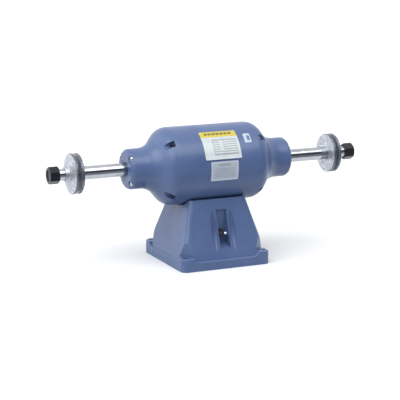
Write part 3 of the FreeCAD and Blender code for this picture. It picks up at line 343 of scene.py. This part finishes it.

# %% [markdown]
# ## Blasted grey casting
# The wheel flanges are light grey castings, blasted with grit. Grit leaves thousands of
# tiny pits: two noises of different size, one for the pits and one for the flat spots
# between them, drive both the bump and a salt-and-pepper tone. The rims are darker as
# painted shade of the shadowed gap between each pair of flanges: a mask on the distance
# from the spindle's axis finds them.
# %% Blasted casting
RIM_SHADE_START = 0.0368


def axis_distance(tree, place):
    """Distance of a point from the spindle's axis."""
    centred = add_node(tree, "ShaderNodeMapping")
    centred.inputs["Location"].default_value = (0.0, 0.0, -SPINDLE_Z)
    centred.inputs["Scale"].default_value = (0.0, 1.0, 1.0)
    link(tree, place, centred.inputs["Vector"])
    length = tree.nodes.new("ShaderNodeVectorMath")
    length.operation = "LENGTH"
    link(tree, centred.outputs["Vector"], length.inputs[0])
    return length.outputs["Value"]


def blasted_casting(name, light, dark, rim):
    material, tree, shader, place, breakup = start_material(name, 1400.0)
    pits = noise(tree, place, 300.0, 6.0, 0.85)
    tone = ramp(tree, pits, 0.40, 0.60)
    colour = mix_colour(tree, tone, dark, light)
    patches = ramp(tree, noise(tree, place, 60.0, 4.0, 0.6), 0.35, 0.75, 0.0, 0.4)
    stained = mix_colour(tree, patches, colour, dark)
    # Painted shade: the rims, which face the shaded gap between each pair of flanges, are darkened.
    rim_shade_mask = ramp(tree, axis_distance(tree, place), RIM_SHADE_START, RIM_SHADE_START + 0.0009, 0.0, 0.92)
    rim_shade_tone = mix_colour(tree, ramp(tree, pits, 0.47, 0.60), rim, dark)
    with_rim_shade = mix_colour(tree, rim_shade_mask, stained, rim_shade_tone)
    wear = wear_mask(tree, place, 0.35)
    link(tree, mix_colour(tree, wear, with_rim_shade, (0.78, 0.79, 0.80)), shader.inputs["Base Color"])
    link(tree, ramp(tree, pits, 0.3, 0.7, 0.52, 0.36), shader.inputs["Roughness"])
    height = math_node(tree, "ADD", pits, math_node(tree, "MULTIPLY", breakup.outputs["Grain"], 0.5))
    bump(tree, shader, height, 0.00012)
    set_plain(shader, Metallic=0.85)
    return material


# The last colour is the painted shade on the flange rims.
flange_cast = blasted_casting("blasted_casting", (0.74, 0.77, 0.82), (0.30, 0.33, 0.38), (0.10, 0.11, 0.14))
print("made", flange_cast.name)

# %% [markdown]
# ## Black oxide and plated fasteners
# The arbor nuts are black oxide: nearly black, with a soft sheen and steel showing through
# at the corners where the spanner bites. Screws use the same recipe with other tones.
# %% Black oxide and plated metal
def coated_metal(name, colour, bright, metallic, rough_low, rough_high, wear_amount):
    material, tree, shader, place, breakup = start_material(name, 1800.0)
    lighter = tuple(min(1.0, value * 1.35 + 0.01) for value in colour)
    tone = mix_colour(tree, breakup.outputs["Drift"], colour, lighter)
    wear = wear_mask(tree, place, wear_amount)
    link(tree, mix_colour(tree, wear, tone, bright), shader.inputs["Base Color"])
    rough = ramp(tree, breakup.outputs["Smudge"], 0.0, 1.0, rough_low, rough_high)
    link(tree, rough, shader.inputs["Roughness"])
    bump(tree, shader, breakup.outputs["Grain"], 0.00002)
    set_plain(shader, Metallic=metallic)
    return material


black_oxide = coated_metal("black_oxide", (0.022, 0.023, 0.031), (0.22, 0.23, 0.26), 0.6, 0.30, 0.42, 0.6)
dark_screw = coated_metal("dark_screw", (0.035, 0.040, 0.055), (0.45, 0.47, 0.50), 0.7, 0.28, 0.40, 1.0)
zinc_plate = coated_metal("zinc_plate", (0.52, 0.53, 0.55), (0.75, 0.76, 0.78), 0.9, 0.25, 0.40, 0.4)
toggle_chrome = coated_metal("toggle_chrome", (0.82, 0.83, 0.85), (0.90, 0.90, 0.90), 1.0, 0.08, 0.16, 0.2)
sheet_steel = coated_metal("sheet_steel", (0.16, 0.17, 0.19), (0.40, 0.41, 0.43), 0.4, 0.40, 0.55, 0.6)
laminations = coated_metal("laminations", (0.20, 0.20, 0.22), (0.45, 0.45, 0.46), 0.8, 0.45, 0.60, 0.3)
die_cast = coated_metal("die_cast", (0.62, 0.63, 0.65), (0.80, 0.80, 0.82), 0.9, 0.35, 0.50, 0.3)
can_metal = coated_metal("can_metal", (0.66, 0.67, 0.70), (0.80, 0.81, 0.83), 0.9, 0.22, 0.36, 0.3)
cage_brass = coated_metal("cage_brass", (0.55, 0.38, 0.14), (0.80, 0.62, 0.30), 0.9, 0.25, 0.40, 0.3)
print("made the coated metals")

# %% [markdown]
# ## Rubber, plastic and varnish
# What is left is dull: moulded rubber, the switch's phenolic body, the leads' jackets and
# the varnished winding. One recipe with a powdery bloom in the smudges suits all of them.
# %% Rubber, plastic and varnish
def dull_material(name, colour, rough_low, rough_high, grain_depth):
    material, tree, shader, place, breakup = start_material(name, 1600.0)
    bloom = tuple(value * 1.5 + 0.015 for value in colour)
    link(tree, mix_colour(tree, breakup.outputs["Smudge"], colour, bloom), shader.inputs["Base Color"])
    rough = ramp(tree, breakup.outputs["Drift"], 0.0, 1.0, rough_low, rough_high)
    link(tree, rough, shader.inputs["Roughness"])
    bump(tree, shader, breakup.outputs["Grain"], grain_depth)
    return material


black_rubber = dull_material("black_rubber", (0.020, 0.020, 0.022), 0.55, 0.75, 0.00006)
switch_plastic = dull_material("switch_plastic", (0.025, 0.025, 0.028), 0.35, 0.50, 0.00003)
lead_jacket = dull_material("lead_jacket", (0.30, 0.03, 0.02), 0.40, 0.55, 0.00003)
copper_coil = dull_material("copper_coil", (0.34, 0.11, 0.035), 0.25, 0.40, 0.00015)
print("made the dull materials")

# %% [markdown]
# ## Finish for the construction pieces
# Most pieces already have their right shape, so they only need a finish. The table pairs
# each finish with the names of its pieces, and the last line prints the pieces that are
# left: the three labels, which get new meshes of their own.
# %% Assign finishes
FINISHES = [
    (casting_paint, ["base_casting", "left_end_bell", "right_end_bell", "left_shaft_seal",
                     "right_shaft_seal"]),
    (shell_paint, ["motor_shell"]),
    (shaft_steel, ["spindle_shaft", "left_collar", "right_collar"]),
    (flange_cast, ["left_inner_flange", "right_inner_flange", "left_outer_flange", "right_outer_flange"]),
    (black_oxide, ["left_nut", "right_nut"]),
    (dark_screw, ["through_bolts", "through_bolt_nuts", "toggle_switch_nut"]),
    (zinc_plate, ["bottom_cover_screws", "motor_mount_bolts", "motor_mount_washers", "capacitor_strap",
                  "nameplate_rivets", "left_bearing_cap_screws", "right_bearing_cap_screws"]),
    (toggle_chrome, ["toggle_lever"]),
    (sheet_steel, ["base_bottom_cover", "motor_mount_blocks"]),
    (laminations, ["stator_core", "rotor_core", "left_inner_bearing_cap", "right_inner_bearing_cap"]),
    (die_cast, ["rotor_cage"]),
    (can_metal, ["run_capacitor"]),
    (bearing_steel, ["bearing_wave_spring", "left_bearing_outer_ring", "right_bearing_outer_ring",
                     "left_bearing_inner_ring", "right_bearing_inner_ring", "left_bearing_balls",
                     "right_bearing_balls"]),
    (cage_brass, ["left_bearing_cage", "right_bearing_cage"]),
    (black_rubber, ["cord_gland", "lead_grommet"]),
    (switch_plastic, ["toggle_switch_body"]),
    (lead_jacket, ["internal_leads"]),
    (copper_coil, ["stator_winding"]),
]


def give_finish(piece, material):
    if not piece.material_slots:
        piece.data.materials.append(material)
    for slot in piece.material_slots:
        slot.material = material


for material, names in FINISHES:
    for name in names:
        give_finish(nodes[name], material)
finished = {name for _, names in FINISHES for name in names}
print("finished:", len(finished), "pieces; the labels are remade below:", sorted(set(nodes) - finished))

# %% [markdown]
# ## Labels wrapped on the shell
# Three thin labels lie on the round shell: a white enamelled plate with a yellow band, a
# silver foil below it, and a small white sticker. Each is bare of words. A flat sheet could
# be bent over the shell, but one straight edge that is spun about the spindle's axis is
# curved exactly as the shell is, in even cells, so that is how each label starts.
# %% Strip helpers
import bmesh

SHEET_CELL = 0.0025
NEAR_LENGTH = 0.0001
NEAR_ANGLE = 0.001
MERGE_LENGTH = 0.00001
CORNER_SEGMENTS = 5
SMOOTH_ANGLE = math.radians(40)


def select_vertices(piece, wanted):
    """Selects the vertices for which wanted(place) is true; the piece is in edit mode."""
    bpy.ops.mesh.select_all(action="DESELECT")
    mesh = bmesh.from_edit_mesh(piece.data)
    for vertex in mesh.verts:
        vertex.select = wanted(vertex.co)
    mesh.select_flush_mode()
    bmesh.update_edit_mesh(piece.data)


def angle_above_front(place):
    return math.atan2(place.z - SPINDLE_Z, -place.y)


def is_corner(place, x_range, angles):
    at_end = min(abs(place.x - x) for x in x_range) < NEAR_LENGTH
    at_edge = min(abs(angle_above_front(place) - angle) for angle in angles) < NEAR_ANGLE
    return at_end and at_edge


def spun_strip(name, x_range, angles, radius):
    """Sheet of even cells, spun from one straight edge about the spindle's axis."""
    low_angle, high_angle = angles
    width = x_range[1] - x_range[0]
    bpy.ops.object.select_all(action="DESELECT")
    bpy.ops.mesh.primitive_plane_add(size=width, location=(sum(x_range) / 2, 0.0, 0.0))
    piece = bpy.context.object
    piece.name = name
    bpy.ops.object.transform_apply(location=True, rotation=True, scale=True)
    bpy.ops.object.mode_set(mode="EDIT")
    select_vertices(piece, lambda place: place.y > 0)
    bpy.ops.mesh.delete(type="VERT")
    bpy.ops.mesh.select_all(action="SELECT")
    start = Vector((0.0, -radius * math.cos(low_angle), SPINDLE_Z + radius * math.sin(low_angle)))
    bpy.ops.transform.translate(value=start + Vector((0.0, width / 2, 0.0)))
    bpy.ops.mesh.subdivide(number_cuts=round(width / SHEET_CELL) - 1)
    bpy.ops.mesh.select_all(action="SELECT")
    rows = round(radius * (high_angle - low_angle) / SHEET_CELL)
    bpy.ops.mesh.spin(steps=rows, angle=high_angle - low_angle, center=AXIS, axis=(1.0, 0.0, 0.0))
    bpy.ops.mesh.select_all(action="SELECT")
    bpy.ops.mesh.remove_doubles(threshold=MERGE_LENGTH)
    bpy.ops.object.mode_set(mode="OBJECT")
    return piece


print("strip helpers ready")

# %% [markdown]
# ## From a strip to a label
# The strip's faces have to point away from the shell, so they are compared with the
# direction at its middle and flipped if need be. Then come the round corners, a UV map
# that runs from 0 to 1 both ways, for the printing, and the thickness.
# %% Label helper
def face_outwards(piece, angles):
    """Flips the sheet if its faces point at the spindle."""
    middle = sum(angles) / 2
    outwards = Vector((0.0, -math.cos(middle), math.sin(middle)))
    bpy.ops.object.mode_set(mode="EDIT")
    mesh = bmesh.from_edit_mesh(piece.data)
    mesh.normal_update()
    if sum(face.normal.dot(outwards) for face in mesh.faces) < 0:
        bpy.ops.mesh.flip_normals()
    bpy.ops.object.mode_set(mode="OBJECT")


def round_corners(piece, x_range, angles, corner):
    bpy.ops.object.mode_set(mode="EDIT")
    select_vertices(piece, lambda place: is_corner(place, x_range, angles))
    bpy.ops.mesh.bevel(offset=corner, segments=CORNER_SEGMENTS, affect="VERTICES")
    bpy.ops.object.mode_set(mode="OBJECT")


def add_print_map(piece, x_range, angles):
    """UV map for the printing, from the sheet's lower left corner to its upper right one."""
    uv_map = piece.data.uv_layers.new(name="print")
    for loop in piece.data.loops:
        place = piece.data.vertices[loop.vertex_index].co
        across = (place.x - x_range[0]) / (x_range[1] - x_range[0])
        up = (angle_above_front(place) - angles[0]) / (angles[1] - angles[0])
        uv_map.data[loop.index].uv = (across, up)


def curved_sheet(name, x_range, angle_range, lift, thickness, corner):
    """Label on the shell between two X places and two angles, in degrees above the front."""
    angles = [math.radians(angle) for angle in angle_range]
    piece = spun_strip(name, x_range, angles, BODY_R + lift)
    face_outwards(piece, angles)
    round_corners(piece, x_range, angles, corner)
    add_print_map(piece, x_range, angles)
    solidify = piece.modifiers.new("thickness", "SOLIDIFY")
    solidify.thickness = thickness
    solidify.offset = 1.0
    bpy.ops.object.modifier_apply(modifier=solidify.name)
    bpy.ops.object.shade_smooth_by_angle(angle=SMOOTH_ANGLE)
    print(name, "has", len(piece.data.polygons), "faces and is", round(x_range[1] - x_range[0], 4), "m long")
    return piece


print("label helpers ready")

# %% [markdown]
# ## Printing on a label
# The printing is plain: a band, a frame and grey lines of even length, as a form has. Each
# is a box in the label's own UV map with sharp edges, as print has, so a group that gives
# the mask of one box is enough. Rows of lines come from a coordinate that repeats.
# %% Print masks
def build_print_box():
    group, start, end = new_group(
        "print_box",
        [("Vector", "NodeSocketVector", None), ("Left", "NodeSocketFloat", 0.0),
         ("Right", "NodeSocketFloat", 1.0), ("Bottom", "NodeSocketFloat", 0.0),
         ("Top", "NodeSocketFloat", 1.0)],
        [("Mask", "NodeSocketFloat")])
    split = group.nodes.new("ShaderNodeSeparateXYZ")
    link(group, start.outputs["Vector"], split.inputs[0])
    masks = []
    for axis, low, high in (("X", "Left", "Right"), ("Y", "Bottom", "Top")):
        above = math_node(group, "GREATER_THAN", split.outputs[axis], start.outputs[low])
        below = math_node(group, "LESS_THAN", split.outputs[axis], start.outputs[high])
        masks.append(math_node(group, "MULTIPLY", above, below))
    link(group, math_node(group, "MULTIPLY", masks[0], masks[1]), end.inputs["Mask"])
    return group


print_box_group = build_print_box()


def print_box(tree, vector, left, right, bottom, top):
    node = tree.nodes.new("ShaderNodeGroup")
    node.node_tree = print_box_group
    for name, value in (("Left", left), ("Right", right), ("Bottom", bottom), ("Top", top)):
        node.inputs[name].default_value = value
    link(tree, vector, node.inputs["Vector"])
    return node.outputs["Mask"]


def print_steps(tree, vector, axis, count, filled):
    """Mask of evenly spaced bars along one axis of the whole label."""
    split = tree.nodes.new("ShaderNodeSeparateXYZ")
    link(tree, vector, split.inputs[0])
    steps = math_node(tree, "FRACT", math_node(tree, "MULTIPLY", split.outputs[axis], float(count)), 0.0)
    return math_node(tree, "LESS_THAN", steps, filled)


def label_material(name, ground, rough, metallic=0.0):
    """Skeleton of a printed label: returns the material, its tree and what the print needs."""
    material, tree, shader, place, breakup = start_material(name, 2200.0)
    print_map = tree.nodes.new("ShaderNodeUVMap")
    print_map.uv_map = "print"
    worn = tuple(value * 0.90 for value in ground)
    colour = mix_colour(tree, breakup.outputs["Smudge"], ground, worn)
    link(tree, ramp(tree, breakup.outputs["Drift"], 0.0, 1.0, rough, rough + 0.12),
         shader.inputs["Roughness"])
    bump(tree, shader, breakup.outputs["Grain"], 0.00001)
    set_plain(shader, Metallic=metallic)
    return material, tree, shader, print_map.outputs["UV"], colour


print("made group", print_box_group.name)

# %% [markdown]
# ## The enamelled plate
# A white plate with a yellow band along its top edge and a ruled form in grey below it.
# Its lower edge was never pressed quite flat, so it stands off the shell and throws a thin
# shadow: the last rows of the sheet are pulled outwards one after another.
# %% The enamelled plate
PLATE_X = (-0.0340, 0.0410)
PLATE_ANGLE = (14.5, 61.5)
LIFTED_ROWS = (4.5, 3.2, 1.9, 0.6)
ROW_LIFT = 0.00025

plate = curved_sheet("white_plate", PLATE_X, PLATE_ANGLE, 0.0001, 0.0005, 0.0020)
bpy.ops.object.mode_set(mode="EDIT")
edge_angle = math.radians(PLATE_ANGLE[0])
lower_edge = Vector((0.0, -math.cos(edge_angle), math.sin(edge_angle)))
for reach in LIFTED_ROWS:
    select_vertices(plate, lambda place: math.degrees(angle_above_front(place)) < PLATE_ANGLE[0] + reach)
    bpy.ops.transform.translate(value=lower_edge * ROW_LIFT)
bpy.ops.mesh.select_all(action="DESELECT")
bpy.ops.object.mode_set(mode="OBJECT")
print("plate lifted by", round(ROW_LIFT * len(LIFTED_ROWS), 5), "m at its lower edge")

# %% [markdown]
# ## The plate's enamel and print
# The enamel is stoved on and glossy. The band, a row of dashes in it, the frame and the
# lines of the form are laid over the white one after another, each with its own mask.
# %% The plate's enamel and print
WHITE_ENAMEL = (0.58, 0.64, 0.66)
YELLOW_ENAMEL = (0.60, 0.50, 0.07)
DASH_BROWN = (0.10, 0.08, 0.03)
PRINT_GREY = (0.17, 0.18, 0.20)


def plate_enamel():
    material, tree, shader, print_place, colour = label_material("plate_enamel", WHITE_ENAMEL, 0.22)
    band = print_box(tree, print_place, -1.0, 2.0, 0.755, 2.0)
    colour = mix_colour(tree, band, colour, YELLOW_ENAMEL)
    heading = print_box(tree, print_place, 0.12, 0.88, 0.845, 0.935)
    dashes = math_node(tree, "MULTIPLY", heading, print_steps(tree, print_place, "X", 9, 0.80))
    colour = mix_colour(tree, math_node(tree, "MULTIPLY", dashes, 0.85), colour, DASH_BROWN)
    form = print_box(tree, print_place, 0.27, 0.92, 0.14, 0.66)
    lines = math_node(tree, "MULTIPLY", form, print_steps(tree, print_place, "Y", 13, 0.38))
    gap = print_box(tree, print_place, 0.45, 0.54, 0.30, 0.62)
    lines = math_node(tree, "MULTIPLY", lines, math_node(tree, "SUBTRACT", 1.0, gap))
    outer_frame = print_box(tree, print_place, 0.265, 0.925, 0.13, 0.67)
    inner_frame = print_box(tree, print_place, 0.277, 0.913, 0.145, 0.655)
    lines = math_node(tree, "MAXIMUM", lines, math_node(tree, "SUBTRACT", outer_frame, inner_frame))
    colour = mix_colour(tree, math_node(tree, "MULTIPLY", lines, 0.70), colour, PRINT_GREY)
    link(tree, colour, shader.inputs["Base Color"])
    return material


give_finish(plate, plate_enamel())
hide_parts("nameplate")
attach(plate, "housing")
print("plate finished")

# %% [markdown]
# ## The silver foil
# A printed foil below the plate, far thinner than it: a ruled form with a light border. It
# lies flat all over, so the curved sheet needs no lifted edge.
# %% The silver foil
SILVER_FOIL = (0.50, 0.56, 0.64)
FOIL_BORDER = (0.60, 0.66, 0.74)


def silver_print():
    material, tree, shader, print_place, colour = label_material("silver_print", SILVER_FOIL, 0.34, 0.25)
    inside = print_box(tree, print_place, 0.045, 0.955, 0.075, 0.925)
    colour = mix_colour(tree, math_node(tree, "SUBTRACT", 1.0, inside), colour, FOIL_BORDER)
    heading = print_box(tree, print_place, 0.28, 0.72, 0.78, 0.87)
    form = math_node(tree, "MULTIPLY", print_box(tree, print_place, 0.12, 0.86, 0.13, 0.70),
                     print_steps(tree, print_place, "Y", 10, 0.42))
    lines = math_node(tree, "MULTIPLY", math_node(tree, "MAXIMUM", heading, form), 0.36)
    link(tree, mix_colour(tree, lines, colour, PRINT_GREY), shader.inputs["Base Color"])
    return material


foil = curved_sheet("silver_foil", (-0.0236, 0.0330), (-17.0, 11.5), 0.00005, 0.00015, 0.0010)
give_finish(foil, silver_print())
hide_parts("data_label")
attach(foil, "housing")

# %% [markdown]
# ## The sticker
# A small white sticker near the right end of the shell, with a plain blue square on it.
# %% The sticker
STICKER_WHITE = (0.50, 0.58, 0.65)
STICKER_BLUE = (0.10, 0.17, 0.34)


def sticker_print():
    material, tree, shader, print_place, colour = label_material("sticker_print", STICKER_WHITE, 0.30)
    square = print_box(tree, print_place, 0.42, 0.86, 0.22, 0.76)
    link(tree, mix_colour(tree, square, colour, STICKER_BLUE), shader.inputs["Base Color"])
    return material


sticker = curved_sheet("white_sticker", (0.0540, 0.0680), (37.0, 53.0), 0.00005, 0.00015, 0.0020)
give_finish(sticker, sticker_print())
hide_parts("shell_sticker")
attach(sticker, "housing")

# %% [markdown]
# ## Floor
# The machine stands on a plain white sweep. The camera and mirror-like metal see it as
# white, but the light that it throws back up is kept lower, so the underside of the motor
# stays as dark as it is over a real bench. In front of the machine the sweep ends and
# metal sees a dark studio floor. All of it comes from Light Path in one material.
# %% Floor
SWEEP_EDGE = (-0.34, -0.16)
SWEEP_LIT = (0.50, 0.51, 0.53)
SWEEP_SEEN = (0.86, 0.86, 0.865)
STUDIO_FLOOR = (0.20, 0.21, 0.235)

bpy.ops.object.select_all(action="DESELECT")
bpy.ops.mesh.primitive_circle_add(vertices=96, radius=30.0, fill_type="NGON", location=(0.0, 0.0, 0.0))
floor = bpy.context.object
floor.name = "studio_floor"
floor_material = bpy.data.materials.new("studio_floor")
floor_material.use_nodes = True
floor_tree = floor_material.node_tree
floor_shader = floor_tree.nodes["Principled BSDF"]
light_path = floor_tree.nodes.new("ShaderNodeLightPath")
seen = math_node(floor_tree, "MAXIMUM", light_path.outputs["Is Camera Ray"],
                 math_node(floor_tree, "MAXIMUM", light_path.outputs["Is Glossy Ray"],
                           light_path.outputs["Is Transmission Ray"]))
floor_split = floor_tree.nodes.new("ShaderNodeSeparateXYZ")
link(floor_tree, floor_tree.nodes.new("ShaderNodeTexCoord").outputs["Object"], floor_split.inputs[0])
past_edge = ramp(floor_tree, floor_split.outputs["Y"], SWEEP_EDGE[1], SWEEP_EDGE[0])
dark_floor = math_node(floor_tree, "MULTIPLY", past_edge, light_path.outputs["Is Glossy Ray"])
floor_colour = mix_colour(floor_tree, seen, SWEEP_LIT, SWEEP_SEEN)
link(floor_tree, mix_colour(floor_tree, dark_floor, floor_colour, STUDIO_FLOOR),
     floor_shader.inputs["Base Color"])
set_plain(floor_shader, Roughness=0.9, Specular_IOR_Level=0.0)
floor.data.materials.append(floor_material)
print("floor ready")

# %% [markdown]
# ## Light
# A big soft box above and to the left, a weaker one from the front right and a low rim
# light from behind on the left. Suns with a wide angle stand in for the boxes, because
# they light the whole floor evenly. Each row gives a lamp's azimuth, elevation, strength
# and the angle that it fills, in degrees.
# %% Light
SUNS = [
    ("soft_box_left", -72.0, 46.0, 1.70, 55.0),
    ("soft_box_front", 15.0, 56.0, 1.05, 44.0),
    ("rim_light", -135.0, 18.0, 0.30, 40.0),
]


def add_sun(name, azimuth, elevation, strength, spread):
    """Sun that shines from an azimuth (0 is the front, negative is left) and elevation."""
    data = bpy.data.lights.new(name, "SUN")
    data.energy = strength
    data.angle = math.radians(spread)
    lamp = bpy.data.objects.new(name, data)
    turn = math.radians(azimuth)
    rise = math.radians(elevation)
    from_there = Vector((math.sin(turn) * math.cos(rise), -math.cos(turn) * math.cos(rise), math.sin(rise)))
    lamp.rotation_euler = from_there.to_track_quat("Z", "Y").to_euler()
    bpy.context.collection.objects.link(lamp)
    return lamp


for sun in SUNS:
    add_sun(*sun)
print("added", len(SUNS), "suns")

# %% [markdown]
# ## The room
# The room is white, but dark in front of the machine near the horizon, as a studio is
# behind the camera: polished shafts show that as their dark centre line. Diffuse light,
# metal and the camera each ask the room for its colour, and Light Path tells them apart:
# the light that falls on the machine is a little below white, metal sees a white room with
# the dark band in front, and the camera sees plain white.
# %% The room
ROOM_LIT = (0.74, 0.75, 0.77)
BAND_LIT = (0.35, 0.36, 0.38)
BAND_SEEN = (0.08, 0.085, 0.10)
WHITE = (1.0, 1.0, 1.0)

world = bpy.data.worlds.new("pale_room")
world.use_nodes = True
bpy.context.scene.world = world
world_tree = world.node_tree
background = world_tree.nodes["Background"]
direction = world_tree.nodes.new("ShaderNodeTexCoord").outputs["Generated"]
split = world_tree.nodes.new("ShaderNodeSeparateXYZ")
link(world_tree, direction, split.inputs[0])
front = ramp(world_tree, split.outputs["Y"], -0.20, -0.55)
low_enough = ramp(world_tree, split.outputs["Z"], 0.66, 0.46)
dark_band = math_node(world_tree, "MULTIPLY", front, low_enough)
lit_room = mix_colour(world_tree, dark_band, ROOM_LIT, BAND_LIT)
seen_room = mix_colour(world_tree, dark_band, WHITE, BAND_SEEN)
world_path = world_tree.nodes.new("ShaderNodeLightPath")
room = mix_colour(world_tree, world_path.outputs["Is Glossy Ray"], lit_room, seen_room)
room = mix_colour(world_tree, world_path.outputs["Is Camera Ray"], room, WHITE)
link(world_tree, room, background.inputs["Color"])
background.inputs["Strength"].default_value = 1.0
print("room ready")
